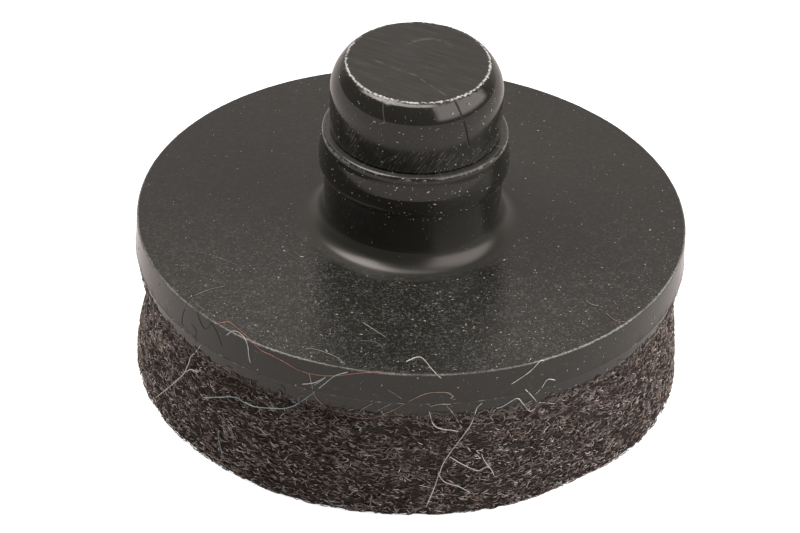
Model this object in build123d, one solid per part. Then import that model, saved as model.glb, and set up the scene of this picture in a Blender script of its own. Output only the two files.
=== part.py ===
from build123d import *
import os
from math import asin, cos, degrees, radians, sin, tan

# Felt furniture glide: a round moulded plastic disc with a snap stem on top and a thick felt pad bonded
# underneath. The stem is pushed into a hole drilled in the end of a chair or table leg, and its barbed
# bead holds it there. The leg then stands on the disc, and the felt slides over the floor.
# Every piece is a solid of revolution about Z. The origin is the middle of the felt's lower face, and
# +Z points up the stem. All sizes are in millimetres.

# Felt pad, bonded just inside the disc's foot and spread a little by the leg's weight
felt_thickness = 5.07
felt_inset = 0.30
felt_bulge = 0.30
felt_spread = 0.44
felt_edge_round = 0.15

# Disc, whose rim drafts both ways from the parting line of the mould, where the upper half overhangs
disc_thickness = 2.62
disc_radius = 12.54
rim_flare = 0.02
parting_depth = 1.57
parting_step = 0.21
foot_taper = 0.05
rim_edge_break = 0.10

# Stem waist, the smooth neck between the disc and the bead
waist_radius = 4.08
root_fillet = 1.55
waist_height = 2.60

# Barbed bead, whose widest band is a short cylinder that grips the hole
bead_radius = 4.34
bead_taper_run = 0.50
bead_band = 0.58
cone_angle = radians(7.0)
cone_height = 0.655
barb_angle = radians(4.0)
barb_height = 0.20
lip_round = 0.20

# Narrow groove between the bead and the head
groove_width = 0.14
groove_depth = 0.28

# Head, a slim barrel with a rounded shoulder and a flat cut end
head_radius = 3.93
head_foot_radius = 3.89
barrel_height = 2.09
shoulder_radius = 1.85
shoulder_height = 1.40

# Heights that follow from the sizes above
disc_bottom = felt_thickness
disc_top = disc_bottom + disc_thickness
parting_height = disc_top - parting_depth
waist_top = disc_top + waist_height
band_bottom = waist_top + bead_taper_run
band_top = band_bottom + bead_band
cone_top = band_top + cone_height
barb_top = cone_top + barb_height
bead_top = barb_top + lip_round * (1 - sin(barb_angle))
head_bottom = bead_top + groove_width
shoulder_bottom = head_bottom + barrel_height
stem_top = shoulder_bottom + shoulder_height

# Radii that follow from the sizes above
parting_radius = disc_radius + rim_flare
lower_rim_radius = parting_radius - parting_step
disc_foot_radius = lower_rim_radius - foot_taper
felt_top_radius = disc_foot_radius - felt_inset
felt_waist_radius = felt_top_radius + felt_bulge
felt_foot_radius = felt_top_radius + felt_spread
root_radius = waist_radius + root_fillet
cone_top_radius = bead_radius - cone_height * tan(cone_angle)
barb_top_radius = cone_top_radius - barb_height * tan(barb_angle)
ledge_radius = barb_top_radius - lip_round * cos(barb_angle)
groove_radius = head_foot_radius - groove_depth


def arc_about(center, radius, start, end):
    """Arc in the r, z plane about a centre, between two angles in degrees."""
    return CenterArc(center, radius, start, end - start)


def felt_pad():
    """Die-cut felt, narrower where it is bonded and spread a little at the foot, with a worn lower edge."""
    half_height = felt_thickness / 2
    with BuildSketch(Plane.XZ) as section:
        with BuildLine():
            side = ThreePointArc(
                (felt_foot_radius, 0), (felt_waist_radius, half_height), (felt_top_radius, felt_thickness)
            )
            Polyline(side @ 1, (0, felt_thickness), (0, 0), side @ 0)
        make_face()
        foot_corner = section.vertices().group_by(Axis.Z)[0].sort_by(Axis.X)[-1]
        fillet(foot_corner, felt_edge_round)
    return revolve(section.sketch, Axis.Z)


def disc():
    """Moulded disc: flat faces and a rim that is widest at the parting line and steps in below it."""
    with BuildSketch(Plane.XZ) as section:
        with BuildLine():
            Polyline(
                (0, disc_bottom),
                (disc_foot_radius, disc_bottom),
                (lower_rim_radius, parting_height),
                (parting_radius, parting_height),
                (disc_radius, disc_top),
                (0, disc_top),
                close=True,
            )
        make_face()
        foot_corner = section.vertices().group_by(Axis.Z)[0].sort_by(Axis.X)[-1]
        chamfer(foot_corner, rim_edge_break)
    return revolve(section.sketch, Axis.Z)


def shoulder_end_angle():
    """Angle of the shoulder's arc, in degrees, where the flat end of the stem cuts it off."""
    return degrees(asin(shoulder_height / shoulder_radius))


def stem():
    """Snap stem: filleted root, neck, barbed bead, groove and barrel head, drawn as one outline."""
    shoulder_center = (head_radius - shoulder_radius, shoulder_bottom)
    lip_center = (ledge_radius, bead_top - lip_round)
    barrel_sag = head_radius - head_foot_radius
    barrel_curve = (barrel_height**2 + barrel_sag**2) / (2 * barrel_sag)
    mid_angle = asin(barrel_height / barrel_curve) / 2
    barrel_middle = (
        head_radius - barrel_curve * (1 - cos(mid_angle)),
        shoulder_bottom - barrel_curve * sin(mid_angle),
    )
    with BuildSketch(Plane.XZ) as section:
        with BuildLine():
            root = arc_about((root_radius, disc_top + root_fillet), root_fillet, 270, 180)
            bead = Polyline(
                root @ 1,
                (waist_radius, waist_top),
                (bead_radius, band_bottom),
                (bead_radius, band_top),
                (cone_top_radius, cone_top),
                (barb_top_radius, barb_top),
            )
            lip = arc_about(lip_center, lip_round, degrees(barb_angle), 90)
            groove = Polyline(
                lip @ 1,
                (groove_radius, bead_top),
                (groove_radius, head_bottom),
                (head_foot_radius, head_bottom),
            )
            barrel = ThreePointArc(groove @ 1, barrel_middle, (head_radius, shoulder_bottom))
            shoulder = arc_about(shoulder_center, shoulder_radius, 0, shoulder_end_angle())
            Polyline(shoulder @ 1, (0, stem_top), (0, disc_top), root @ 0)
        make_face()
    return revolve(section.sketch, Axis.Z)


def glide_body():
    """Disc and stem leave the mould as one piece."""
    return disc() + stem()


pieces = {
    "glide_body": glide_body(),
    "felt_pad": felt_pad(),
}

os.makedirs("parts", exist_ok=True)
for name, piece in pieces.items():
    export_step(piece, f"parts/{name}.step")
    print(name, "volume", round(piece.volume, 2), "mm3")
print("stem top", round(stem_top, 3), "disc top", round(disc_top, 3), "disc foot radius", round(disc_foot_radius, 3))
print("ledge radius", round(ledge_radius, 3), "bead top above the disc", round(bead_top - disc_top, 3))
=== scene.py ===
# %% [markdown]
# A felt furniture glide, dressed for its portrait. The CAD frame gives two pieces at their real size: a black
# moulded body (a disc with a snap stem) and a thick round of grey-brown felt bonded under it.
# This lesson gives them their finish: a glossy moulding with scuffed edges, fine grain and dust, and a felt
# built from real strands. All lengths are in metres, so a millimetre has a name of its own.

# %% Load the frame
import math
import random

import bmesh
import bpy
from mathutils import Matrix, Vector, noise
from mathutils.bvhtree import BVHTree


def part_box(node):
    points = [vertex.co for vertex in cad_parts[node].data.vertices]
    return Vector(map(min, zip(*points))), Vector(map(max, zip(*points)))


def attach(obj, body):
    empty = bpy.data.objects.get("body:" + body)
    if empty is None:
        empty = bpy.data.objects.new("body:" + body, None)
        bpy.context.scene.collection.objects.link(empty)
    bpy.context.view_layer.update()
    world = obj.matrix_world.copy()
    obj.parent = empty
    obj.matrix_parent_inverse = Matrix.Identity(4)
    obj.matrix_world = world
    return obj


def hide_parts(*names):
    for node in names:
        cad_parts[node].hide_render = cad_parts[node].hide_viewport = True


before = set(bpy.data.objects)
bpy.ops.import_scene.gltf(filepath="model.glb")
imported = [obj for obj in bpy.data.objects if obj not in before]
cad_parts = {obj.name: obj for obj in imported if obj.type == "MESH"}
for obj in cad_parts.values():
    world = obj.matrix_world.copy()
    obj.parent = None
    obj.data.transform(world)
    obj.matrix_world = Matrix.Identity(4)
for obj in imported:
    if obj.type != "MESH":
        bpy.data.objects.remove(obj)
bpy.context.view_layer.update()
MM = 0.001
ROOT = "root"

# %% [markdown]
# The frame's boxes give the heights of the bond and of the stem's end. The other sizes repeat those of the
# CAD model, so that the finely spun body in this scene is the same moulding with smoother walls. Only the
# neck's root and the lip above the bead are drawn a little finer, by under 0.4 mm.

# %% Sizes of the moulding
_, body_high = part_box("glide_body")
_, felt_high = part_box("felt_pad")
DISC_FOOT = felt_high.z
STEM_TOP = body_high.z
DISC_TOP = DISC_FOOT + 2.62 * MM
PARTING_HEIGHT = DISC_TOP - 1.57 * MM
DISC_RADIUS = 12.54 * MM
PARTING_RADIUS = 12.56 * MM
LOWER_RIM_RADIUS = 12.35 * MM
DISC_FOOT_RADIUS = 12.30 * MM
WAIST_RADIUS = 4.06 * MM
ROOT_FILLET = 1.00 * MM
ROOT_SHIFT = 0.14 * MM
WAIST_TOP = DISC_TOP + 2.60 * MM
BEAD_RADIUS = 4.34 * MM
BAND_BOTTOM = WAIST_TOP + 0.50 * MM
BAND_TOP = BAND_BOTTOM + 0.58 * MM
CONE_TOP_RADIUS = 4.2596 * MM
CONE_TOP = BAND_TOP + 0.655 * MM
LIP_RADIUS = 4.25 * MM
LIP_BREAK = 20.0
LIP_LOWER_ROUND = 0.55 * MM
LIP_UPPER_ROUND = 0.16 * MM
BEAD_TOP = DISC_TOP + 4.84 * MM
GROOVE_RADIUS = 3.65 * MM
HEAD_BOTTOM = BEAD_TOP + 0.05 * MM
HEAD_FOOT_RADIUS = 3.89 * MM
HEAD_RADIUS = 3.93 * MM
SHOULDER_RADIUS = 1.85 * MM
SHOULDER_BOTTOM = STEM_TOP - 1.40 * MM
SHOULDER_END = 44.0
CREST_ROUND = 0.50 * MM
CREST_RISE = 0.217
CREST_END = math.degrees(math.asin(math.sin(math.radians(SHOULDER_END)) + CREST_RISE))
CREST_INSET = math.cos(math.radians(SHOULDER_END)) - math.cos(math.radians(CREST_END))
STEM_EDGE_RADIUS = (
    HEAD_RADIUS - SHOULDER_RADIUS * (1 - math.cos(math.radians(SHOULDER_END))) - CREST_ROUND * CREST_INSET
)
print("disc foot", DISC_FOOT, "disc top", DISC_TOP, "stem top", STEM_TOP, "stem edge", STEM_EDGE_RADIUS)

# %% [markdown]
# The camera comes first. A long lens stands 300 mm away and looks down at 34 degrees, rolled by 2.4 degrees,
# as the photograph was taken. The roll leans the stem a little to the right.

# %% Camera
CAMERA_DISTANCE = 300 * MM
CAMERA_ELEVATION = math.radians(34.35)
CAMERA_ROLL = math.radians(2.41)
CAMERA_LENS = 295.65
SENSOR_WIDTH = 36.0
AIM_RIGHT = 0.5253 * MM
AIM_UP = 2.3027 * MM
PICTURE_WIDTH = 800
PICTURE_HEIGHT = 533
PIXELS_PER_SLOPE = CAMERA_LENS / SENSOR_WIDTH * PICTURE_WIDTH

level_right = Vector((1, 0, 0))
level_up = Vector((0, math.sin(CAMERA_ELEVATION), math.cos(CAMERA_ELEVATION)))
camera_back = Vector((0, -math.cos(CAMERA_ELEVATION), math.sin(CAMERA_ELEVATION)))
camera_right = math.cos(CAMERA_ROLL) * level_right + math.sin(CAMERA_ROLL) * level_up
camera_up = math.cos(CAMERA_ROLL) * level_up - math.sin(CAMERA_ROLL) * level_right
camera_place = (
    Vector((0, 0, DISC_TOP)) + CAMERA_DISTANCE * camera_back - AIM_RIGHT * camera_right - AIM_UP * camera_up
)
camera_data = bpy.data.cameras.new("camera")
camera_data.lens = CAMERA_LENS
camera_data.sensor_width = SENSOR_WIDTH
camera_data.clip_start = 1 * MM
camera = bpy.data.objects.new("camera", camera_data)
bpy.context.collection.objects.link(camera)
turn = Matrix((camera_right, camera_up, camera_back)).transposed()
camera.matrix_world = Matrix.Translation(camera_place) @ turn.to_4x4()
bpy.context.scene.camera = camera
bpy.context.scene.view_settings.view_transform = "Standard"
print("camera at", camera_place)

# %% [markdown]
# Shader maths reads best as sums. This small class wraps a socket, and each operator adds the Math node that
# it stands for. Every other node comes from its node method, and a colour is mixed by the Mix node, because a
# Math node would turn it grey.


# %% A socket that can be used in sums
class Link:
    def __init__(self, tree, socket=None):
        self.tree = tree
        self.socket = socket

    def __getitem__(self, name):
        return Link(self.tree, self.socket.node.outputs[name])

    def node(self, kind, settings=None, values=None):
        """New node of this kind. Settings come first, then its sockets get a value or a link."""
        made = self.tree.nodes.new(kind)
        for name, value in (settings or {}).items():
            setattr(made, name, value)
        for name, value in (values or {}).items():
            place = made.inputs[name]
            if isinstance(value, Link):
                self.tree.links.new(value.socket, place)
            elif isinstance(value, tuple) and len(value) == 3 and len(place.default_value) == 4:
                place.default_value = (*value, 1.0)
            else:
                place.default_value = value
        shown = [socket for socket in made.outputs if socket.enabled]
        return Link(self.tree, shown[0] if shown else None)

    def math(self, operation, *others):
        return self.node("ShaderNodeMath", {"operation": operation}, dict(enumerate((self, *others))))

    def __add__(self, other):
        return self.math("ADD", other)

    def __radd__(self, other):
        return self.math("ADD", other)

    def __mul__(self, other):
        return self.math("MULTIPLY", other)

    def __rmul__(self, other):
        return self.math("MULTIPLY", other)

    def __sub__(self, other):
        return self.math("SUBTRACT", other)

    def __rsub__(self, other):
        return (self * -1.0) + other

    def __truediv__(self, other):
        return self.math("DIVIDE", other)

    def __pow__(self, other):
        return self.math("POWER", other)

    def abs(self):
        return self.math("ABSOLUTE")

    def highest(self, other):
        return self.math("MAXIMUM", other)

    def lowest(self, other):
        return self.math("MINIMUM", other)

    def ramp(self, low, high, to_low=0.0, to_high=1.0):
        """Smooth step from to_low to to_high, as this value goes from low to high."""
        return self.node(
            "ShaderNodeMapRange",
            {"interpolation_type": "SMOOTHSTEP"},
            {"Value": self, "From Min": low, "From Max": high, "To Min": to_low, "To Max": to_high},
        )

    def band(self, middle, half_width, soft):
        """1 within half_width of the middle, fading to 0 over soft."""
        return (self - middle).abs().ramp(half_width, half_width + soft, 1.0, 0.0)

    def mix(self, first, second):
        """Colour between first and second, with this value as the factor."""
        return self.node("ShaderNodeMix", {"data_type": "RGBA"}, {0: self, 6: first, 7: second})

    def noise(self, scale, detail=2.0, roughness=0.5, distortion=0.0):
        """Noise of this vector, from 0 to 1."""
        values = {"Vector": self, "Scale": scale, "Detail": detail, "Roughness": roughness}
        return self.node("ShaderNodeTexNoise", None, values | {"Distortion": distortion})

    def vector(self, x, y, z):
        return self.node("ShaderNodeCombineXYZ", None, {"X": x, "Y": y, "Z": z})

    def place_in_mm(self):
        """Object coordinates in millimetres."""
        place = self.node("ShaderNodeTexCoord")["Object"]
        return place.node("ShaderNodeVectorMath", {"operation": "SCALE"}, {0: place, "Scale": 1000.0})


def distance(a, b):
    """Length of a step that goes by a one way and by b at right angles to it."""
    return (a * a + b * b) ** 0.5


def new_material(name):
    """Empty material and the Link that its nodes come from."""
    material = bpy.data.materials.new(name)
    material.use_nodes = True
    material.node_tree.nodes.clear()
    return material, Link(material.node_tree)


def show(shader, surface, world=False):
    """Sends a shader to the output."""
    kind = "ShaderNodeOutputWorld" if world else "ShaderNodeOutputMaterial"
    shader.node(kind, None, {"Surface": surface})


# %% [markdown]
# The studio is a white table under a dim room, with a white backdrop behind and two large soft boxes. The
# gloss of the stem shows where they stand: one on the right, from about 30 to 105 degrees of azimuth, and
# one high up on the left. Only mirror rays see these painted boxes. The camera sees white, and the felt gets
# its light from two lamps near the same places, because a lamp has cleaner shadows than a painted sky.

# %% Table and sky
WHITE = (1.0, 1.0, 1.0)
MIRRORED_WHITE = (1.0, 0.89, 0.85)
TABLE_COLOUR = (0.72, 0.72, 0.72)
TABLE_GLOW = 0.70
TABLE_GLOSS = 0.90
TABLE_HALF_SIZE = 1.5
DARK_ROOM = 0.20
BACKDROP_GLOSS = 0.66
RIGHT_BOX_GLOSS = 3.6
LEFT_BOX_GLOSS = 8.5
TOP_GLOSS = 2.8
SKY_ON_FELT = 0.30


def pale_table():
    mesh = bpy.data.meshes.new("table")
    shape = bmesh.new()
    bmesh.ops.create_grid(shape, x_segments=1, y_segments=1, size=TABLE_HALF_SIZE)
    shape.to_mesh(mesh)
    shape.free()
    piece = bpy.data.objects.new("table", mesh)
    bpy.context.collection.objects.link(piece)
    material, shader = new_material("table")
    path = shader.node("ShaderNodeLightPath")
    plain = shader.node("ShaderNodeBsdfDiffuse", None, {"Color": TABLE_COLOUR})
    part_glow = shader.node("ShaderNodeEmission", None, {"Color": WHITE, "Strength": TABLE_GLOW})
    seen = shader.node("ShaderNodeAddShader", None, {0: plain, 1: part_glow})
    mirrored = shader.node("ShaderNodeEmission", None, {"Color": MIRRORED_WHITE, "Strength": TABLE_GLOSS})
    in_camera = shader.node("ShaderNodeMixShader", None, {0: path["Is Camera Ray"], 1: plain, 2: seen})
    in_gloss = path["Is Glossy Ray"].highest(path["Is Transmission Ray"])
    show(shader, shader.node("ShaderNodeMixShader", None, {0: in_gloss, 1: in_camera, 2: mirrored}))
    mesh.materials.append(material)
    return piece


def studio_sky():
    world = bpy.data.worlds.new("studio")
    bpy.context.scene.world = world
    world.use_nodes = True
    world.node_tree.nodes.clear()
    shader = Link(world.node_tree)
    path = shader.node("ShaderNodeLightPath")
    place = shader.node("ShaderNodeTexCoord")["Generated"]
    parts = shader.node("ShaderNodeSeparateXYZ", None, {"Vector": place})
    degrees = 180 / math.pi
    rise = parts["Z"].math("ARCSINE") * degrees
    from_front = parts["X"].math("ARCTAN2", parts["Y"] * -1.0) * degrees
    from_back = parts["X"].math("ARCTAN2", parts["Y"]) * degrees
    behind = from_back.abs().ramp(38.0, 66.0, 1.0, 0.0)
    right_box = from_front.band(67.0, 33.0, 11.0) * rise.ramp(52.0, 76.0, 1.0, 0.0) * rise.ramp(4.0, 18.0)
    left_box = from_front.band(-88.0, 30.0, 18.0) * rise.band(65.0, 13.0, 7.0)
    overhead = rise.ramp(70.0, 80.0)
    room = behind * (BACKDROP_GLOSS - DARK_ROOM) + DARK_ROOM
    mirrored = room.highest(right_box * RIGHT_BOX_GLOSS).highest(left_box * LEFT_BOX_GLOSS)
    mirrored = mirrored.highest(overhead * TOP_GLOSS)
    in_camera = path["Is Camera Ray"]
    in_gloss = path["Is Glossy Ray"].highest(path["Is Transmission Ray"])
    unseen = in_gloss * mirrored + (1 - in_gloss) * room * SKY_ON_FELT
    strength = in_camera + (1 - in_camera) * unseen
    tint = in_camera.mix(MIRRORED_WHITE, WHITE)
    show(shader, shader.node("ShaderNodeBackground", None, {"Color": tint, "Strength": strength}), world=True)


pale_table()
studio_sky()
print("table and sky made")

# %% [markdown]
# Two lamps stand near the painted boxes. They light the felt and the dust, and the gloss doesn't see
# them a second time.

# %% Soft boxes
LAMP_DISTANCE = 500 * MM


def soft_box(name, azimuth, elevation, width, height, power):
    """Square lamp aimed at the glide. Azimuth 0 is the camera's side, and 90 is on the right."""
    a, e = math.radians(azimuth), math.radians(elevation)
    away = Vector((math.sin(a) * math.cos(e), -math.cos(a) * math.cos(e), math.sin(e)))
    lamp = bpy.data.lights.new(name, "AREA")
    lamp.shape = "RECTANGLE"
    lamp.size = width
    lamp.size_y = height
    lamp.energy = power
    box = bpy.data.objects.new(name, lamp)
    bpy.context.collection.objects.link(box)
    box.location = Vector((0, 0, DISC_TOP)) + away * LAMP_DISTANCE
    box.rotation_mode = "QUATERNION"
    box.rotation_quaternion = (-away).to_track_quat("-Z", "Y")
    box.visible_camera = False
    box.visible_glossy = False
    return box


soft_box("right_box", 74, 28, 0.55, 0.42, 4.4)
soft_box("left_box", -108, 50, 0.36, 0.26, 3.2)

# %% [markdown]
# The moulded body is a turned form, so half of its outline is drawn once and spun round the Z axis with
# bmesh.ops.spin. Long walls need only their ends, while arcs and the edges that wear get many points, so that
# light rolls over them smoothly. The spin has 720 steps, far finer than the frame's own mesh.

# %% Outline helpers
SPIN_STEPS = 720


def arc(center_r, center_z, radius, start, end, pieces):
    """Points of an arc in the r, z plane, from one angle to another, in degrees."""
    turns = [math.radians(start + (end - start) * i / pieces) for i in range(pieces + 1)]
    return [(center_r + radius * math.cos(t), center_z + radius * math.sin(t)) for t in turns]


def run(start, end, pieces):
    """Points of a straight run, its ends included."""
    steps = [i / pieces for i in range(pieces + 1)]
    return [(start[0] + (end[0] - start[0]) * s, start[1] + (end[1] - start[1]) * s) for s in steps]


def spun(outline, steps):
    """Bmesh of an outline in the r, z plane, spun all the way round Z, with outward normals."""
    shape = bmesh.new()
    corners = [shape.verts.new((r, 0, z)) for r, z in outline]
    edges = [shape.edges.new(pair) for pair in zip(corners, corners[1:])]
    bmesh.ops.spin(
        shape,
        geom=corners + edges,
        cent=(0, 0, 0),
        axis=(0, 0, 1),
        angle=2 * math.pi,
        steps=steps,
        use_merge=True,
    )
    bmesh.ops.remove_doubles(shape, verts=shape.verts[:], dist=0.0005 * MM)
    bmesh.ops.recalc_face_normals(shape, faces=shape.faces[:])
    return shape


def piece_from(shape, name, material, sharp_angle=None):
    """Object at the origin with this bmesh as its mesh, smooth shaded, riding on the root body."""
    mesh = bpy.data.meshes.new(name)
    shape.to_mesh(mesh)
    shape.free()
    return piece_of(mesh, name, material, sharp_angle)


def piece_of(mesh, name, material, sharp_angle=None):
    mesh.shade_smooth()
    if sharp_angle is not None:
        mesh.set_sharp_from_angle(angle=math.radians(sharp_angle))
    mesh.materials.clear()
    mesh.materials.append(material)
    piece = bpy.data.objects.new(name, mesh)
    bpy.context.collection.objects.link(piece)
    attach(piece, ROOT)
    print(name, len(mesh.polygons), "faces")
    return piece


# %% [markdown]
# The disc's upper edge is worn to a tiny round, the parting line carries a thin flash, and the lower edge is
# rounded. On the stem, the root fillet, the bead's lip and the shoulder are true arcs.

# %% Outline of the body
RIM_WEAR = 0.11 * MM
FLASH = 0.02 * MM
FOOT_ROUND = 0.12 * MM


def disc_outline():
    bottom = [(0, DISC_FOOT), (6 * MM, DISC_FOOT)]
    foot = arc(DISC_FOOT_RADIUS - FOOT_ROUND, DISC_FOOT + FOOT_ROUND, FOOT_ROUND, -90, -5, 5)
    wall_foot = (DISC_FOOT_RADIUS, DISC_FOOT + 0.2 * MM)
    lower_wall = run(wall_foot, (LOWER_RIM_RADIUS, PARTING_HEIGHT - 0.03 * MM), 3)
    flash = [
        (LOWER_RIM_RADIUS + 0.01 * MM, PARTING_HEIGHT - 0.01 * MM),
        (PARTING_RADIUS - 0.02 * MM, PARTING_HEIGHT - 0.015 * MM),
        (PARTING_RADIUS + FLASH * 0.4, PARTING_HEIGHT),
        (PARTING_RADIUS + FLASH * 0.4, PARTING_HEIGHT + 0.02 * MM),
        (PARTING_RADIUS - 0.005 * MM, PARTING_HEIGHT + 0.045 * MM),
    ]
    above_flash = (PARTING_RADIUS - 0.006 * MM, PARTING_HEIGHT + 0.08 * MM)
    upper_wall = run(above_flash, (DISC_RADIUS, DISC_TOP - 0.2 * MM), 4)
    edge = arc(DISC_RADIUS - RIM_WEAR, DISC_TOP - RIM_WEAR, RIM_WEAR, 0, 90, 6)
    flange = run((DISC_RADIUS - 0.14 * MM, DISC_TOP), (DISC_RADIUS - 0.30 * MM, DISC_TOP), 4)
    return bottom + foot + lower_wall + flash + upper_wall + edge + flange + [(9 * MM, DISC_TOP)]


def stem_outline():
    root_r = WAIST_RADIUS + ROOT_FILLET
    root = arc(root_r, DISC_TOP + ROOT_FILLET, ROOT_FILLET, 270, 180, 18)
    turn_in, turn_out = math.sin(math.radians(LIP_BREAK)), math.cos(math.radians(LIP_BREAK))
    lip_crest = BEAD_TOP - LIP_UPPER_ROUND * (1 - turn_in)
    lip_foot = lip_crest - LIP_LOWER_ROUND * turn_in
    crest_radius = LIP_RADIUS - LIP_LOWER_ROUND * (1 - turn_out)
    bead = [
        (WAIST_RADIUS, WAIST_TOP),
        (BEAD_RADIUS, BAND_BOTTOM),
        (BEAD_RADIUS, BAND_TOP),
        (CONE_TOP_RADIUS, CONE_TOP),
        (LIP_RADIUS, lip_foot),
    ]
    softened = []
    for before, corner, after in zip([root[-1]] + bead, bead, bead[1:] + [bead[-1]]):
        for other in (before, after):
            gap = math.dist(corner, other)
            share = 0.03 * MM / gap if gap else 0.0
            softened.append(tuple(c + (o - c) * share for c, o in zip(corner, other)))
    lip = arc(LIP_RADIUS - LIP_LOWER_ROUND, lip_foot, LIP_LOWER_ROUND, 0, LIP_BREAK, 5)
    upper_r = crest_radius - LIP_UPPER_ROUND * turn_out
    lip += arc(upper_r, BEAD_TOP - LIP_UPPER_ROUND, LIP_UPPER_ROUND, LIP_BREAK, 90, 7)[1:]
    head_foot = (HEAD_FOOT_RADIUS - 0.04 * MM, HEAD_BOTTOM)
    groove = [(GROOVE_RADIUS, BEAD_TOP), (GROOVE_RADIUS, HEAD_BOTTOM), head_foot]
    barrel = run((HEAD_FOOT_RADIUS, HEAD_BOTTOM + 0.04 * MM), (HEAD_RADIUS, SHOULDER_BOTTOM), 5)
    barrel = [(r + 0.006 * MM * math.sin(math.pi * i / 5), z) for i, (r, z) in enumerate(barrel)]
    shoulder_center = HEAD_RADIUS - SHOULDER_RADIUS
    shoulder = arc(shoulder_center, SHOULDER_BOTTOM, SHOULDER_RADIUS, 0, SHOULDER_END, 20)
    last_r, last_z = shoulder[-1]
    crest_turn = math.radians(SHOULDER_END)
    crest_r = last_r - CREST_ROUND * math.cos(crest_turn)
    crest_z = last_z - CREST_ROUND * math.sin(crest_turn)
    shoulder += arc(crest_r, crest_z, CREST_ROUND, SHOULDER_END, CREST_END, 8)[1:]
    top_run = run((STEM_EDGE_RADIUS - 0.03 * MM, STEM_TOP), (STEM_EDGE_RADIUS - 0.25 * MM, STEM_TOP), 7)
    cut_end = top_run + [(1.5 * MM, STEM_TOP), (0, STEM_TOP)]
    return root + softened[:-1] + lip + groove + barrel + shoulder[1:] + cut_end


outline = disc_outline() + stem_outline()
print("outline points", len(outline), "highest radius", max(r for r, z in outline))

# %% [markdown]
# A worn edge isn't even. Points close to the stem's cut end and to the disc's edge are pushed in and out by
# noise, strongest right at the edge, which breaks up the highlight there as chafing does. The flash at the
# parting line gets its small teeth in the same way.

# %% Chafed edges
def unevenness(place, size):
    """Smooth noise from -1 to 1 whose bumps are about this large."""
    return noise.noise(place / size)


def chafe(shape):
    for vert in shape.verts:
        place = vert.co
        r = math.hypot(place.x, place.y)
        out = Vector((place.x, place.y, 0)).normalized() if r > 0 else Vector((0, 0, 1))
        from_stem_edge = math.hypot(r - STEM_EDGE_RADIUS, place.z - STEM_TOP)
        from_disc_edge = math.hypot(r - DISC_RADIUS, place.z - DISC_TOP)
        from_flash = math.hypot(r - PARTING_RADIUS, place.z - PARTING_HEIGHT)
        if from_stem_edge < 0.3 * MM:
            close = 1 - from_stem_edge / (0.3 * MM)
            amount = unevenness(place, 0.10 * MM) * 0.012 * MM + unevenness(place, 0.35 * MM) * 0.016 * MM
            vert.co += (out + Vector((0, 0, 1))) * amount * close
        elif from_disc_edge < 0.16 * MM:
            close = 1 - from_disc_edge / (0.16 * MM)
            amount = unevenness(place, 0.16 * MM) * 0.010 * MM + unevenness(place, 0.9 * MM) * 0.012 * MM
            vert.co += (out * 0.6 + Vector((0, 0, 0.8))) * amount * close
        elif from_flash < 0.06 * MM:
            teeth = max(0.0, unevenness(place, 0.28 * MM) - 0.12)
            vert.co += out * teeth * 0.03 * MM


def set_root_forward(shape):
    """Moves the foot of the neck a little towards the front, where the mould halves didn't quite line up."""
    for vert in shape.verts:
        r = math.hypot(vert.co.x, vert.co.y)
        height = (vert.co.z - DISC_TOP) / MM
        if -0.001 < height < 2.4 and r < 7 * MM:
            share = min(1.0, (2.4 - height) / 1.4) * min(1.0, (7 * MM - r) / (1.5 * MM))
            vert.co.y -= ROOT_SHIFT * share


def tilt_cut_end(shape):
    """Leans the cut end of the stem towards the front, as a hand-held knife left it."""
    for vert in shape.verts:
        share = min(1.0, max(0.0, (vert.co.z - SHOULDER_BOTTOM) / (STEM_TOP - SHOULDER_BOTTOM)))
        vert.co.z += vert.co.y * math.tan(CUT_TILT) * share * share


CUT_TILT = math.radians(1.4)
body_shape = spun(outline, SPIN_STEPS)
chafe(body_shape)
set_root_forward(body_shape)
tilt_cut_end(body_shape)
print("body vertices", len(body_shape.verts))

# %% [markdown]
# Some marks are named by where they are in the picture. A ray from the camera through that point finds the
# place on the surface, so a scratch or a hair drawn this way lies on the piece from every side.

# %% Places named in the picture
body_tree = BVHTree.FromBMesh(body_shape)
SCRATCH_START = (373.6, 59.8)


def sight(u, v):
    """Direction from the camera through a point of the picture."""
    aside = (u - PICTURE_WIDTH / 2) / PIXELS_PER_SLOPE
    above = (PICTURE_HEIGHT / 2 - v) / PIXELS_PER_SLOPE
    return (camera_right * aside + camera_up * above - camera_back).normalized()


def on_body(u, v):
    """Point of the body, in millimetres, that the camera sees there."""
    return body_tree.ray_cast(camera_place, sight(u, v))[0] / MM


def circle_through(a, b, c):
    """Centre and radius of the level circle through three points."""
    d = 2 * (a.x * (b.y - c.y) + b.x * (c.y - a.y) + c.x * (a.y - b.y))
    aa, bb, cc = (p.x * p.x + p.y * p.y for p in (a, b, c))
    x = (aa * (b.y - c.y) + bb * (c.y - a.y) + cc * (a.y - b.y)) / d
    y = (aa * (c.x - b.x) + bb * (a.x - c.x) + cc * (b.x - a.x)) / d
    return x, y, math.hypot(a.x - x, a.y - y)


print("a scratch starts at", on_body(*SCRATCH_START))
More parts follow.
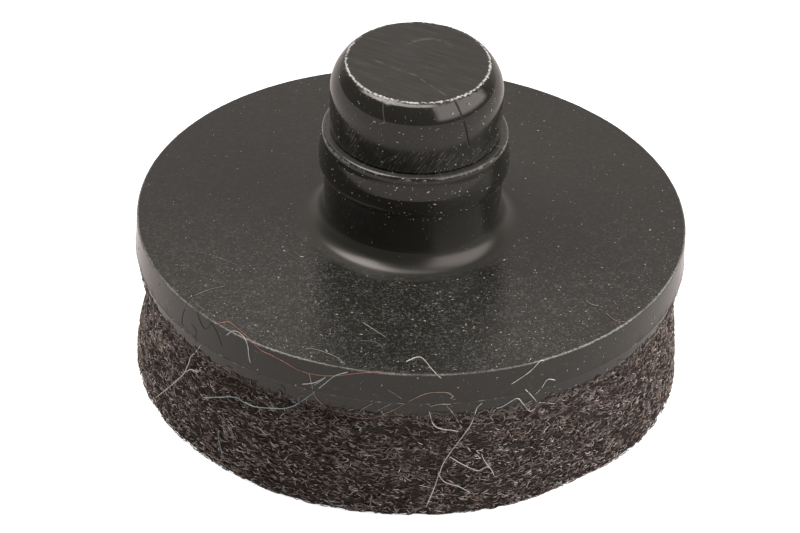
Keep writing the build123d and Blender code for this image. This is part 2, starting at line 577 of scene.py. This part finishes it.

# %% [markdown]
# The body has one material, because it is one moulding. Object coordinates give the radius, the height and
# the angle of every point, and masks made from them say where each kind of surface lies: the grained flange,
# the polished neck, the cut end with its parallel marks, the chafed edges and the parting line. Three masks
# paint light into the colour: glints on the flange's grain, a highlight under the stem's edge and a sheen on
# the bead's ledge.

# %% Moulded plastic
PLASTIC_BLACK = (0.0112, 0.0113, 0.0090)
PLASTIC_GREY = (0.0160, 0.0155, 0.0130)
SCUFF_AND_HIGHLIGHT_PALE = (0.52, 0.50, 0.47)
SCUFF_AND_SHEEN_GREY = (0.15, 0.145, 0.135)
DUST_PALE = (0.46, 0.45, 0.42)
DUST_TAN = (0.42, 0.26, 0.17)
CUT_DIRECTION = math.radians(-24.5)
GRAIN_SIZE = 0.11
GRAIN_HEIGHT = 0.014
CUT_SCRATCHES = (
    (SCRATCH_START, (394.3, 67.8)),
    ((394.3, 67.8), (417.3, 75.8)),
    ((421.0, 79.0), (446.0, 95.5)),
)
CUT_SMUDGE = ((409, 44), (428, 38.5), (449, 44))
SHOULDER_CRACK = ((454.6, 100.5), (469.0, 146.0))
SHOULDER_LINE = ((384.2, 98.0), (384.8, 123.0))


def line_on_level(x, y, ends, width):
    """1 on a straight scratch between two places on a level face, 0 elsewhere."""
    start, end = (on_body(*place) for place in ends)
    length = math.hypot(end.x - start.x, end.y - start.y)
    way_x, way_y = (end.x - start.x) / length, (end.y - start.y) / length
    along = (x - start.x) * way_x + (y - start.y) * way_y
    across = (y - start.y) * way_x - (x - start.x) * way_y
    return across.band(0.0, width * 0.5, width * 0.5) * along.band(length / 2, length / 2, 0.08)


def line_on_wall(angle, z, ends, width):
    """1 on a scratch that climbs the stem between two places, 0 elsewhere."""
    start, end = (on_body(*place) for place in ends)
    first, last = math.atan2(start.y, start.x), math.atan2(end.y, end.x)
    slope = (last - first) / (end.z - start.z)
    r = HEAD_RADIUS / MM
    across = (angle - first - (z - start.z) * slope) * r
    along = z.band((start.z + end.z) / 2, abs(start.z - end.z) / 2, 0.05)
    return across.band(0.0, width * 0.5, width * 0.5) * along


def moulded_plastic():
    material, shader = new_material("moulded_plastic")
    in_mm = shader.place_in_mm()
    parts = in_mm.node("ShaderNodeSeparateXYZ", None, {"Vector": in_mm})
    x, y, z = parts["X"], parts["Y"], parts["Z"]
    r = distance(x, y)
    angle = y.math("ARCTAN2", x)
    rearwards = y / r

    disc_top, stem_top = DISC_TOP / MM, STEM_TOP / MM
    cut_plane = y * math.tan(CUT_TILT) + stem_top
    below_cut = cut_plane - z
    on_top = below_cut.ramp(0.02, 0.03, 1.0, 0.0)
    on_flange = z.band(disc_top, 0.05, 0.05) * r.ramp(4.7, 5.1)
    on_rim = z.ramp(disc_top - 0.20, disc_top - 0.10, 1.0, 0.0)
    on_stem = z.ramp(disc_top + 0.1, disc_top + 0.5) * below_cut.ramp(0.03, 0.06)
    level = on_flange.highest(on_top)

    # Grain of the mould, strong on the flange, with pale flecks painted on it as glints of light on its
    # relief, stronger towards the front, and the rim's long low waves
    grain = in_mm.noise(1.0 / GRAIN_SIZE, 1.0, 0.6, 0.7)
    coarse = in_mm.noise(3.0, 2.0)
    outer = r.ramp(5.2, 6.4, 0.55, 1.0)
    flange_grain = (grain * outer + coarse * 0.5) * on_flange
    frontwards = rearwards.ramp(-0.9, 0.4, 1.0, 0.0)
    fleck_place = in_mm.noise(1.2, 2.0) * 0.16 + in_mm.noise(8.0, 1.5, 0.6, 1.2)
    # Pale flecks on the flange's grain are painted glints, the light that its relief catches, brighter at the
    # front.
    painted_grain_glints = fleck_place.ramp(0.56, 0.78) * on_flange * (frontwards * 0.27 + 0.08)
    rim_grain = in_mm.noise(1.3, 2.0) * on_rim

    # Parallel marks of the cut, across the stem's end, with two scratches and a smudge
    across = x * -math.sin(CUT_DIRECTION) + y * math.cos(CUT_DIRECTION)
    along = x * math.cos(CUT_DIRECTION) + y * math.sin(CUT_DIRECTION)
    cut = shader.vector(across * 9.0, along * 0.35, 0.0).noise(1.0, 3.0, 0.7)
    fine_cut = shader.vector(across * 24.0, along * 0.6, 3.0).noise(1.0, 2.0, 0.6)
    cut_marks = (cut * 0.5 + fine_cut * 0.5) * on_top
    scratch = line_on_level(x, y, CUT_SCRATCHES[0], 0.045)
    for ends in CUT_SCRATCHES[1:]:
        scratch = scratch.highest(line_on_level(x, y, ends, 0.045))
    scratch = scratch * on_top * in_mm.noise(2.2, 3.0, 0.7).ramp(0.38, 0.62, 0.15, 1.0)
    streaks = fine_cut.ramp(0.45, 0.68) * 0.6 + cut.ramp(0.42, 0.66) * 0.4
    smudge_x, smudge_y, smudge_r = circle_through(*(on_body(*at) for at in CUT_SMUDGE))
    from_centre = distance(x - smudge_x, y - smudge_y)
    smudge = from_centre.band(smudge_r - 0.03, 0.02, 0.11) * on_top
    smudge = smudge * in_mm.noise(2.0, 3.0, 0.7).ramp(0.36, 0.62)
    smudge = smudge * y.ramp(smudge_y + smudge_r * 0.35, smudge_y + smudge_r * 0.8)

    # Slanted scratches that the hole left on the head
    around = angle * 3.9
    slant = shader.vector((around * 0.86 - z * 0.5) * 17.0, (around * 0.5 + z * 0.86) * 1.3, r * 0.3)
    slanted = slant.noise(1.0, 3.0, 0.6).ramp(0.50, 0.64) * on_stem * below_cut.ramp(1.5, 2.3)
    slanted = slanted * in_mm.noise(0.7, 2.0).ramp(0.36, 0.58) * z.ramp(disc_top + 4.6, disc_top + 4.9)
    crack = line_on_wall(angle, z, SHOULDER_CRACK, 0.06) * on_stem
    pale_line = line_on_wall(angle, z, SHOULDER_LINE, 0.035) * on_stem

    # Chafed edges, with a painted highlight under the stem's edge and a painted sheen on the bead's ledge
    ragged = in_mm.noise(9.0, 3.0, 0.65)
    broken = in_mm.noise(3.4, 3.0, 0.7)
    to_edge = distance(r - STEM_EDGE_RADIUS / MM, below_cut)
    edge_wear = broken + rearwards.ramp(0.0, 0.8, 0.03, -0.14)
    near_edge = (to_edge + (ragged - 0.5) * 0.36).ramp(0.015, 0.060, 1.0, 0.0)
    stem_scuff = near_edge * edge_wear.ramp(0.36, 0.50, 0.1, 1.0)
    front_left = (angle * (180 / math.pi)).band(-106.0, 22.0, 14.0) * on_stem
    # A band just under the stem's edge at the front left is painted pale: a painted highlight of the left
    # soft box, with some scuffing in it.
    wear_and_highlight_band = (to_edge + (ragged - 0.5) * 0.12).band(0.16, 0.04, 0.05) * front_left
    lip_wear = (z - BEAD_TOP / MM + 0.10 + (ragged - 0.5) * 0.2).band(0.0, 0.02, 0.05) * on_stem
    lip_wear = lip_wear * (broken + rearwards.ramp(-0.95, -0.55, 0.0, 0.07)).ramp(0.50, 0.62)
    # The flat ledge on top of the bead is painted lighter grey, a painted sheen where its gloss mirrors only
    # the dark head.
    ledge_sheen = z.band(BEAD_TOP / MM, 0.02, 0.02) * r.ramp(3.85, 3.90) * on_stem
    to_rim = distance(r - DISC_RADIUS / MM, z - disc_top)
    rim_scuff = (to_rim + (ragged - 0.5) * 0.20).ramp(0.02, 0.095, 1.0, 0.0)
    rim_scuff = rim_scuff * (in_mm.noise(0.30, 2.0) + (ragged - 0.5) * 0.5).ramp(0.36, 0.60, 0.25, 1.0)
    flecks = in_mm.noise(2.6, 3.0, 0.7).ramp(0.56, 0.66)
    parting = z.band(PARTING_HEIGHT / MM + 0.01, 0.012, 0.02) * (flecks * 0.85 + 0.06) * on_rim
    rim_marks = in_mm.noise(5.0, 3.0, 0.75, 1.5).ramp(0.62, 0.70) * on_rim

    # Fine dust, one speck or none in each cell
    unrolled_x = level * x + (1 - level) * around
    unrolled_y = level * y + (1 - level) * z
    spread = shader.vector(unrolled_x, unrolled_y, 0.0)
    cells = spread.node(
        "ShaderNodeTexVoronoi",
        {"voronoi_dimensions": "2D", "feature": "F1"},
        {"Vector": spread, "Scale": 5.5},
    )
    chance = cells.node("ShaderNodeSeparateColor", None, {"Color": cells["Color"]})
    dusty = in_mm.noise(0.6, 2.0).ramp(0.38, 0.66, 0.15, 1.0) * (frontwards * 0.30 + 0.04)
    speck_size = chance["Green"] * chance["Green"] * 0.12 + 0.030
    specks = (cells["Distance"] + (ragged - 0.5) * 0.08 - speck_size).ramp(-0.02, 0.02, 1.0, 0.0)
    specks = specks * (chance["Red"] - dusty).ramp(-0.01, 0.01, 1.0, 0.0)
    specks = specks * (on_flange + on_rim * 0.3 + on_stem * 0.7 + on_top * 0.2).lowest(1.0)
    specks = specks * chance["Blue"].ramp(0.0, 1.0, 0.25, 1.0)
    dust_colour = chance["Red"].ramp(0.05, 0.07, 1.0, 0.0).mix(DUST_PALE, DUST_TAN)

    colour = in_mm.noise(0.5, 3.0).mix(PLASTIC_BLACK, PLASTIC_GREY)
    # Painted glints on the flange's grain, and grey marks on the rim
    colour = (painted_grain_glints + rim_marks * 0.22).mix(colour, SCUFF_AND_SHEEN_GREY)
    # Grey slanted scratches on the head, and the ledge painted lighter as a painted sheen
    colour = (slanted * 0.24 + ledge_sheen * 0.2).mix(colour, SCUFF_AND_SHEEN_GREY)
    colour = (streaks * on_top * 0.17).mix(colour, SCUFF_AND_SHEEN_GREY)
    colour = (scratch * 0.35 + smudge * 0.30 + pale_line * 0.4).lowest(1.0).mix(colour, SCUFF_AND_SHEEN_GREY)
    colour = (parting * 0.5).mix(colour, DUST_PALE)
    colour = (rim_scuff * 0.42).mix(colour, SCUFF_AND_HIGHLIGHT_PALE)
    # Pale scuffs on the lip, and the painted highlight under the stem's edge
    colour = (wear_and_highlight_band * 0.35 + lip_wear * 0.22).mix(colour, SCUFF_AND_HIGHLIGHT_PALE)
    colour = (stem_scuff * 0.95).mix(colour, SCUFF_AND_HIGHLIGHT_PALE)
    colour = (specks * 0.8).mix(colour, dust_colour)
    colour = crack.mix(colour, (0.001, 0.001, 0.001))

    near_root = z.ramp(disc_top + 0.7, disc_top + 1.3, 1.0, 0.0) * r.ramp(5.0, 5.7, 1.0, 0.0)
    roughness = on_flange * 0.06 + near_root * 0.20 + slanted * 0.12 + cut_marks * 0.10 + crack * 0.6 + 0.09
    roughness = roughness + (rim_scuff * 0.4 + stem_scuff * 0.5 + specks * 0.5 + wear_and_highlight_band * 0.3).lowest(0.6)

    height = flange_grain * GRAIN_HEIGHT + rim_grain * 0.004 + cut_marks * 0.0022 - slanted * 0.0012
    height = height + stem_scuff * ragged * 0.03 + specks * 0.012
    height = height - (scratch + pale_line) * 0.004 - crack * 0.02
    bump = shader.node("ShaderNodeBump", None, {"Strength": 1.0, "Distance": MM, "Height": height})
    surface = shader.node(
        "ShaderNodeBsdfPrincipled",
        None,
        {"Base Color": colour, "Roughness": roughness, "Normal": bump, "IOR": 1.5},
    )
    show(shader, surface)
    return material


body = piece_from(body_shape, "body_moulding", moulded_plastic(), sharp_angle=32)
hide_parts("glide_body")

# %% [markdown]
# The felt pad is wool pressed into a block. Its core is a spun form with a rough, dark surface, and the part
# that the eye reads as felt is thousands of loose strands that lie on its tufts. The core stands a little
# inside the CAD solid, so that the strands end up where the real surface is.

# %% Outline of the felt
FELT_TOP_RADIUS = 12.00 * MM
FELT_WAIST_RADIUS = 12.30 * MM
FELT_FOOT_RADIUS = 12.44 * MM
FELT_FOOT_ROUND = 0.15 * MM
FELT_DEPTH = 0.10 * MM
FELT_STEPS = 480
FELT_ROWS = 44


def felt_side_radius(height):
    """Radius of the felt's side at a height: an arc through its foot, its middle and its top."""
    t = height / DISC_FOOT
    foot, waist, top = FELT_FOOT_RADIUS, FELT_WAIST_RADIUS, FELT_TOP_RADIUS
    side = foot * (1 - t) * (1 - 2 * t) + waist * 4 * t * (1 - t) + top * t * (2 * t - 1)
    low = max(0.0, 1 - height / FELT_FOOT_ROUND)
    return side - FELT_FOOT_ROUND * (1 - math.sqrt(max(0.0, 1 - low * low)))


def felt_outline():
    top_height = DISC_FOOT - 0.02 * MM
    base = [(0, 0.05 * MM), (8 * MM, 0.05 * MM), (11.3 * MM, 0.05 * MM)]
    heights = [0.05 * MM + (top_height - 0.05 * MM) * i / FELT_ROWS for i in range(FELT_ROWS + 1)]
    side = [(felt_side_radius(h) - FELT_DEPTH, h) for h in heights]
    return base + side + [(9 * MM, top_height), (0, top_height)]


# %% [markdown]
# The core's surface is pushed about by noise, so that the strands sit in hollows and on tufts. The block
# isn't quite round either. It is bonded a fifth of a millimetre off centre, towards the front, bulges a
# little at the front left of its foot, and draws in at the upper left and the front right.

# %% Felt core
OFF_CENTRE = 0.20
FOOT_BULGE = 0.10
FRONT_RIGHT_DRAW = 0.26
LEFT_DRAW = 0.20


def felt_swell(angle, height):
    """How far the felt's side stands out from its plain outline at an angle about Z."""
    low = 1 - min(1.0, height / (2.4 * MM))
    high = min(1.0, max(0.0, (height - 1.2 * MM) / (1.4 * MM)))
    off_centre = math.cos(angle + math.radians(86))
    front_left = math.exp(-(((angle + math.radians(110)) / math.radians(15)) ** 2))
    front_right = math.exp(-(((angle + math.radians(50)) / math.radians(13)) ** 2))
    left = math.exp(-(((abs(angle) - math.pi) / math.radians(30)) ** 2))
    swell = OFF_CENTRE * off_centre + FOOT_BULGE * front_left * low
    swell = swell - FRONT_RIGHT_DRAW * front_right - LEFT_DRAW * left * high
    return swell * MM


def roughen_felt(shape):
    for vert in shape.verts:
        place = vert.co.copy()
        r = math.hypot(place.x, place.y)
        if r < 10.5 * MM:
            continue
        angle = math.atan2(place.y, place.x)
        out = Vector((place.x, place.y, 0)).normalized()
        tufts = unevenness(place, 0.9 * MM) * 0.06 * MM + unevenness(place, 0.25 * MM) * 0.05 * MM
        vert.co += out * (felt_swell(angle, place.z) + tufts)


FELT_GROUND = (0.020, 0.0155, 0.0140)
FELT_LIFT = (0.095, 0.076, 0.068)


def felt_ground():
    material, shader = new_material("felt_ground")
    in_mm = shader.place_in_mm()
    parts = in_mm.node("ShaderNodeSeparateXYZ", None, {"Vector": in_mm})
    around = parts["Y"].math("ARCTAN2", parts["X"]) * 12.3
    r = distance(parts["X"], parts["Y"])
    fibre_place = shader.vector(around * 3.0, parts["Z"] * 11.0, r * 8.0)
    fibres = fibre_place.noise(1.0, 3.0, 0.65, 0.6)
    fine = in_mm.noise(16.0, 2.0, 0.6)
    colour = (fibres * 0.6 + fine * 0.4).ramp(0.45, 0.72).mix(FELT_GROUND, FELT_LIFT)
    height = fibres * 0.05 + fine * 0.02
    bump = shader.node("ShaderNodeBump", None, {"Strength": 1.0, "Distance": MM, "Height": height})
    surface = shader.node(
        "ShaderNodeBsdfPrincipled",
        None,
        {"Base Color": colour, "Roughness": 0.95, "Normal": bump, "Specular IOR Level": 0.1},
    )
    show(shader, surface)
    return material


felt_shape = spun(felt_outline(), FELT_STEPS)
roughen_felt(felt_shape)
felt_core = piece_from(felt_shape, "felt_core", felt_ground())
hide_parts("felt_pad")

# %% [markdown]
# A strand is a thin thread, so it is drawn as a curve with a triangular section and then made a mesh. It
# runs mostly along the pressed layers, nearly straight, and arches only a little out of the core. The random
# numbers are seeded, so each run gives the same felt.

# %% Threads as meshes
dice = random.Random(11)


def thread_section(radius, sides):
    """Closed curve that a thread is extruded along."""
    curve = bpy.data.curves.new("section", "CURVE")
    curve.dimensions = "2D"
    spline = curve.splines.new("POLY")
    spline.points.add(sides - 1)
    for i, point in enumerate(spline.points):
        turn_now = 2 * math.pi * i / sides
        point.co = (radius * math.cos(turn_now), radius * math.sin(turn_now), 0, 1)
    spline.use_cyclic_u = True
    section = bpy.data.objects.new("section", curve)
    bpy.context.collection.objects.link(section)
    return section


def threads(name, routes, radius, sides, material):
    """One mesh piece with a thread along each route. A route is a list of points and of widths."""
    section = thread_section(radius, sides)
    curve = bpy.data.curves.new(name, "CURVE")
    curve.dimensions = "3D"
    curve.bevel_mode = "OBJECT"
    curve.bevel_object = section
    curve.use_fill_caps = True
    for points, widths in routes:
        spline = curve.splines.new("POLY")
        spline.points.add(len(points) - 1)
        spline.points.foreach_set("co", [c for p in points for c in (p[0], p[1], p[2], 1.0)])
        spline.points.foreach_set("radius", widths)
    holder = bpy.data.objects.new(name, curve)
    bpy.context.collection.objects.link(holder)
    bpy.context.view_layer.update()
    mesh = bpy.data.meshes.new_from_object(holder.evaluated_get(bpy.context.evaluated_depsgraph_get()))
    bpy.data.objects.remove(holder)
    bpy.data.objects.remove(section)
    return piece_of(mesh, name, material)


def wool(name, colour, shade):
    """Material of one tone of wool, from shade to colour along and between the strands."""
    material, shader = new_material(name)
    in_mm = shader.place_in_mm()
    tone = in_mm.noise(2.2, 3.0, 0.7).ramp(0.30, 0.70)
    surface = shader.node(
        "ShaderNodeBsdfPrincipled",
        None,
        {"Base Color": tone.mix(shade, colour), "Roughness": 0.6, "Specular IOR Level": 0.3},
    )
    show(shader, surface)
    return material


# %% Strands of the felt
RIM_CLEARANCE = 0.03 * MM
FLOOR_CLEARANCE = 0.03 * MM
FRINGE_HEIGHT = 0.05
FRINGE_SPREAD = 0.13
FRINGE_TOP = 0.42 * MM
STEEP_SHARE = 0.22
STEEP_SHARE_ON_FRINGE = 0.5


def felt_strand(height, angle, length, lift, tilt, top):
    """Route of one strand on the felt's side: centre, length, height of its arch and slope."""
    points = []
    sway = dice.uniform(-0.5, 0.5)
    bend = dice.gauss(0, 0.16)
    steps = 4 if length > 0.45 * MM else 3
    for i in range(steps + 1):
        s = i / steps - 0.5
        slope = tilt + bend * s * 2
        z = min(max(height + length * s * math.sin(slope), FLOOR_CLEARANCE), top)
        a = angle + length * s * math.cos(slope) / FELT_FOOT_RADIUS
        arch = lift * (1 - (2 * s) ** 2 * 0.5) + sway * s * 0.04 * MM
        radius = felt_side_radius(min(z, DISC_FOOT)) - FELT_DEPTH + felt_swell(a, z) + arch
        if z > DISC_FOOT - RIM_CLEARANCE:
            radius = max(radius, DISC_FOOT_RADIUS + RIM_CLEARANCE)
        points.append((radius * math.cos(a), radius * math.sin(a), z))
    widths = [0.5] + [1.0] * (steps - 1) + [0.4]
    return points, widths


def tufted(shift):
    """A random place on the side, as an angle and a height, drawn to the tufts of one tone."""
    best = None
    for _ in range(3):
        angle, height = dice.uniform(-math.pi, math.pi), dice.uniform(0.0, 1.0) * DISC_FOOT
        place = Vector((FELT_FOOT_RADIUS * math.cos(angle), FELT_FOOT_RADIUS * math.sin(angle), height * 2.8))
        value = unevenness(place + Vector((0, 0, shift * MM)), 0.75 * MM) + dice.gauss(0, 0.25)
        if best is None or value > best[0]:
            best = value, angle, height
    return best[1:]


def felt_strands(count, low_length, high_length, lift, fringe, shift):
    """Strands all over the side, and a share of them on the fringe that climbs over the rim's foot."""
    routes = []
    for i in range(count):
        on_fringe = i < count * fringe
        angle, height = tufted(shift)
        if on_fringe:
            height = DISC_FOOT + dice.gauss(FRINGE_HEIGHT, FRINGE_SPREAD) * MM
        length = dice.triangular(low_length, high_length, low_length) * MM
        tilt = dice.gauss(0, 0.40)
        if dice.random() < (STEEP_SHARE_ON_FRINGE if on_fringe else STEEP_SHARE):
            tilt = dice.uniform(-1.5, 1.5)
        arch = dice.uniform(0.2, 1.0) * lift * MM
        top = DISC_FOOT + FRINGE_TOP if on_fringe else DISC_FOOT - RIM_CLEARANCE
        routes.append(felt_strand(height, angle, length, arch, tilt, top))
    return routes


# Each tone: colour, shade, count, shortest and longest strand, lift, share on the fringe, radius. In mm.
TONES = {
    "felt_strands_dark": ((0.055, 0.041, 0.036), (0.022, 0.017, 0.015), 6400, 0.20, 0.90, 0.10, 0.13, 0.020),
    "felt_strands_brown": ((0.20, 0.146, 0.123), (0.09, 0.066, 0.056), 8600, 0.12, 0.62, 0.10, 0.10, 0.021),
    "felt_strands_grey": ((0.33, 0.282, 0.256), (0.15, 0.127, 0.114), 8000, 0.10, 0.46, 0.10, 0.05, 0.020),
    "felt_strands_pale": ((0.66, 0.595, 0.54), (0.36, 0.32, 0.285), 2200, 0.10, 0.40, 0.10, 0.05, 0.018),
}
for shift, (name, tone) in enumerate(TONES.items()):
    colour, shade, count, low, high, lift, fringe, radius = tone
    routes = felt_strands(count, low, high, lift, fringe, 20.0 * shift)
    strands = threads(name, routes, radius * MM, 3, wool(name, colour, shade))


CURL_COUNT = 210
CURL_RADIUS = 0.012 * MM
CURLS_IN_FRONT = 0.26
CURL_COLOUR = (0.31, 0.265, 0.24)
CURL_SHADE = (0.12, 0.10, 0.09)


def fringe_curl():
    """Route of one loose fibre end that curls on the rim's foot, most often at the front right."""
    in_front = dice.random() < CURLS_IN_FRONT
    angle = math.radians(dice.gauss(-66, 13)) if in_front else dice.uniform(-math.pi, math.pi)
    height = DISC_FOOT + dice.uniform(-0.20, 0.24) * MM
    size = dice.triangular(0.06, 0.34, 0.08) * MM
    start, sweep = dice.uniform(0, 2 * math.pi), dice.uniform(0.8, 3.2)
    wide = dice.uniform(0.8, 1.6)
    points = []
    for i in range(8):
        turn = start + sweep * i / 7
        z = height + size * math.sin(turn)
        stand = DISC_FOOT_RADIUS + (0.04 + 0.05 * math.sin(math.pi * i / 7)) * MM
        a = angle + size * wide * math.cos(turn) / DISC_FOOT_RADIUS
        points.append((stand * math.cos(a), stand * math.sin(a), z))
    return points, [0.6] + [1.0] * 6 + [0.5]


curls = [fringe_curl() for _ in range(CURL_COUNT)]
curl_wool = wool("fringe_curls", CURL_COLOUR, CURL_SHADE)
fringe_curls = threads("fringe_curls", curls, CURL_RADIUS, 3, curl_wool)

# %% [markdown]
# Hairs and lint are part of what the photograph shows. Each is a route of points in the picture. The route is
# rounded first, every point of it is cast onto the surface, and the line is then eased, because a stiff hair
# bridges a step that a ray falls into. On the felt it lies on top of the strands.

# %% Hairs and lint
felt_tree = BVHTree.FromObject(felt_core, bpy.context.evaluated_depsgraph_get())
ROUTE_PIECES = 5
HAIR_LIFT_ON_FELT = 0.20 * MM


def rounded(route, pieces):
    """Smooth line through the points of a picture route."""
    ends = [route[0]] + list(route) + [route[-1]]
    line = []
    for a, b, c, d in zip(ends, ends[1:], ends[2:], ends[3:]):
        for i in range(pieces):
            t = i / pieces
            line.append(tuple(
                0.5 * (
                    2 * q + (r - p) * t
                    + (2 * p - 5 * q + 4 * r - o) * t * t
                    + (3 * q - p - 3 * r + o) * t ** 3
                )
                for p, q, r, o in zip(a, b, c, d)
            ))
    return line + [tuple(map(float, route[-1]))]


def laid_hair(route, radius):
    """Route in space of a hair that lies on what the camera sees behind each point."""
    places = []
    for u, v in rounded(route, ROUTE_PIECES):
        way = sight(u, v)
        plastic, up, _, plastic_gap = body_tree.ray_cast(camera_place, way)
        felt, out, _, felt_gap = felt_tree.ray_cast(camera_place, way)
        if plastic is None and felt is None:
            continue
        if plastic is not None and (felt is None or plastic_gap < felt_gap):
            places.append(plastic + up * radius)
        else:
            places.append(felt + out * HAIR_LIFT_ON_FELT)
    for _ in range(2):
        inner = [(a + b * 2 + c) / 4 for a, b, c in zip(places, places[1:], places[2:])]
        places = [places[0]] + inner + [places[-1]]
    widths = [0.55] + [1.0] * (len(places) - 2) + [0.45]
    return [tuple(place) for place in places], widths


HAIRS = {
    "hair_copper": ((0.30, 0.155, 0.105), 0.018, (
        ((218, 324), (228, 322), (234, 326), (247, 337), (261, 350), (272, 355), (290, 365), (304, 372),
         (329, 376), (357, 373), (382, 372)),
    )),
    "hair_brown": ((0.34, 0.22, 0.17), 0.018, (
        ((309, 373), (312, 384), (314, 394), (321, 403), (330, 409), (343, 412), (357, 416), (372, 417),
         (386, 413), (400, 406), (415, 398), (427, 393), (442, 392), (449, 393), (454, 397)),
        ((606, 313), (615, 321), (626, 322)),
    )),
    "hair_blue_white": ((0.34, 0.40, 0.40), 0.020, (
        ((206, 396), (223, 396), (239, 396), (247, 401), (261, 406), (285, 407), (300, 402), (314, 392),
         (329, 380), (336, 375), (348, 372)),
        ((314, 385), (325, 378)),
    )),
    "hair_white": ((0.60, 0.56, 0.51), 0.020, (
        ((227, 335), (234, 331), (243, 336), (248, 345), (249, 356), (251, 363)),
        ((406, 362), (418, 357), (425, 361), (432, 370), (441, 378)),
        ((544, 361), (540, 361), (530, 371), (520, 378), (511, 384)),
        ((525, 389), (531, 395), (536, 401)),
        ((535, 394), (542, 387), (547, 379), (555, 380)),
        ((496, 408), (503, 406), (516, 398), (521, 401), (527, 409), (535, 405), (541, 402), (552, 402)),
        ((482, 403), (477, 407), (474, 416), (468, 425), (454, 444), (441, 464), (438, 475), (426, 505)),
        ((449, 455), (462, 462), (476, 469), (486, 464), (493, 474)),
        ((481, 452), (484, 460), (490, 469)),
        ((438, 471), (443, 479), (455, 484), (470, 490)),
        ((201, 345), (194, 357), (190, 367), (184, 377), (160, 397)),
        ((189, 371), (195, 369), (201, 371)),
        ((302, 384), (312, 383), (318, 381), (326, 377)),
        ((430, 406), (440, 404), (451, 404), (442, 404)),
        ((429, 411), (432, 421), (438, 426), (446, 427), (458, 429)),
    )),
    "hair_grey": ((0.34, 0.32, 0.295), 0.016, (
        ((221, 429), (222, 438), (224, 451), (225, 457), (220, 462)),
        ((446, 405), (453, 413), (458, 421)),
        ((493, 407), (489, 414), (492, 419)),
        ((586, 301), (592, 305), (599, 306)),
        ((362.4, 322.6), (373.6, 329.6), (386.3, 338)),
        ((304.9, 349.3), (314.7, 349.3), (334.3, 356.3), (345.6, 364.7)),
        ((373, 403), (362, 409), (358, 414)),
        ((392, 403), (388, 405), (376, 411)),
    )),
}
LINT = {
    "lint_pale": ((0.20, 0.20, 0.195), 0.010, (
        ((180, 251), (208, 254), (236, 265)),
        ((194, 296), (208, 290), (226, 286)),
        ((359.6, 340.8), (376.4, 342.2), (383.5, 349.3)),
        ((388, 390), (395, 394), (402, 399)),
        ((196, 303), (201, 308), (205, 311)),
        ((379, 124), (385, 122.5)),
        ((181, 324), (188, 330), (194, 338)),
    )),
    "lint_dark": ((0.004, 0.004, 0.004), 0.010, (
        ((184.8, 308.9), (181.7, 323), (193.8, 337), (196.3, 342)),
        ((197.6, 312.8), (201.4, 324.2), (206.5, 329.3), (211.6, 321.7)),
        ((191.2, 324.2), (196.3, 330.6), (195, 338.3)),
        ((211, 322), (218, 334), (222, 346)),
        ((217, 354), (223, 357), (229, 360)),
        ((281, 384), (285, 389), (284, 394)),
    )),
}


def hair_finish(name, colour):
    """Plain, slightly glossy hair, lint or dust, with a darker tone here and there."""
    material, shader = new_material(name)
    in_mm = shader.place_in_mm()
    dim = tuple(c * 0.6 for c in colour)
    tone = in_mm.noise(1.4, 3.0, 0.7).ramp(0.35, 0.65).mix(dim, colour)
    show(shader, shader.node("ShaderNodeBsdfPrincipled", None, {"Base Color": tone, "Roughness": 0.5}))
    return material


for name, (colour, radius, routes) in (HAIRS | LINT).items():
    laid = [laid_hair(route, radius * MM) for route in routes]
    hair = threads(name, laid, radius * MM, 5, hair_finish(name, colour))

# %% [markdown]
# Dust gathers on the flange in front of the stem and on the stem. Each speck is a squashed icosphere, half
# sunk into the surface, and the heap of them is one piece for each tone.

# %% Dust
DUST_IN_FRONT = 0.72
DUST_ON_FLANGE = 0.52
DUST_UP_TO_STEM = 0.90
FLANGE_RADII_SQUARED = (25.0, 151.0)
STEM_WALL = sorted((z, r) for r, z in stem_outline() if DISC_TOP + 0.9 * MM < z < STEM_TOP - 0.3 * MM)


def wall_radius(height):
    """Radius of the stem's wall at a height, read from its outline."""
    for (low, low_r), (high, high_r) in zip(STEM_WALL, STEM_WALL[1:]):
        if low <= height <= high and high > low:
            return low_r + (high_r - low_r) * (height - low) / (high - low)
    return WAIST_RADIUS


def dusty_place():
    """A random place with its normal: most on the front of the flange, some on the stem and on the rim."""
    part = dice.random()
    in_front = dice.random() < DUST_IN_FRONT
    angle = dice.gauss(-math.pi / 2 + 0.25, 0.85) if in_front else dice.uniform(-math.pi, math.pi)
    out = Vector((math.cos(angle), math.sin(angle), 0))
    if part < DUST_ON_FLANGE:
        r = math.sqrt(dice.uniform(*FLANGE_RADII_SQUARED)) * MM
        return out * r + Vector((0, 0, DISC_TOP)), Vector((0, 0, 1))
    if part < DUST_UP_TO_STEM:
        height = dice.uniform(STEM_WALL[0][0], STEM_WALL[-1][0])
        return out * wall_radius(height) + Vector((0, 0, height)), out
    height = dice.uniform(DISC_FOOT + 0.3 * MM, DISC_TOP - 0.1 * MM)
    wall = LOWER_RIM_RADIUS if height < PARTING_HEIGHT else PARTING_RADIUS
    return out * wall + Vector((0, 0, height)), out


def dust(name, count, colour, low, high):
    shape = bmesh.new()
    for _ in range(count):
        place, up = dusty_place()
        size = dice.triangular(low, high, low) * MM
        squash = Matrix.Diagonal((dice.triangular(0.8, 3.0, 1.0), dice.uniform(0.4, 0.9), 0.45, 1.0))
        spin_now = Matrix.Rotation(dice.uniform(0, math.pi), 4, "Z")
        stand = up.to_track_quat("Z", "Y").to_matrix().to_4x4()
        bmesh.ops.create_icosphere(
            shape, subdivisions=1, radius=size, matrix=Matrix.Translation(place) @ stand @ spin_now @ squash
        )
    piece = piece_from(shape, name, hair_finish(name, colour))


dust("dust_flakes", 130, (0.42, 0.40, 0.37), 0.022, 0.055)
dust("dust_pale", 620, (0.50, 0.48, 0.44), 0.009, 0.046)
dust("dust_grey", 620, (0.26, 0.25, 0.23), 0.009, 0.036)
dust("dust_tan", 120, (0.44, 0.27, 0.18), 0.009, 0.036)
dust("dust_red", 12, (0.55, 0.13, 0.16), 0.012, 0.032)
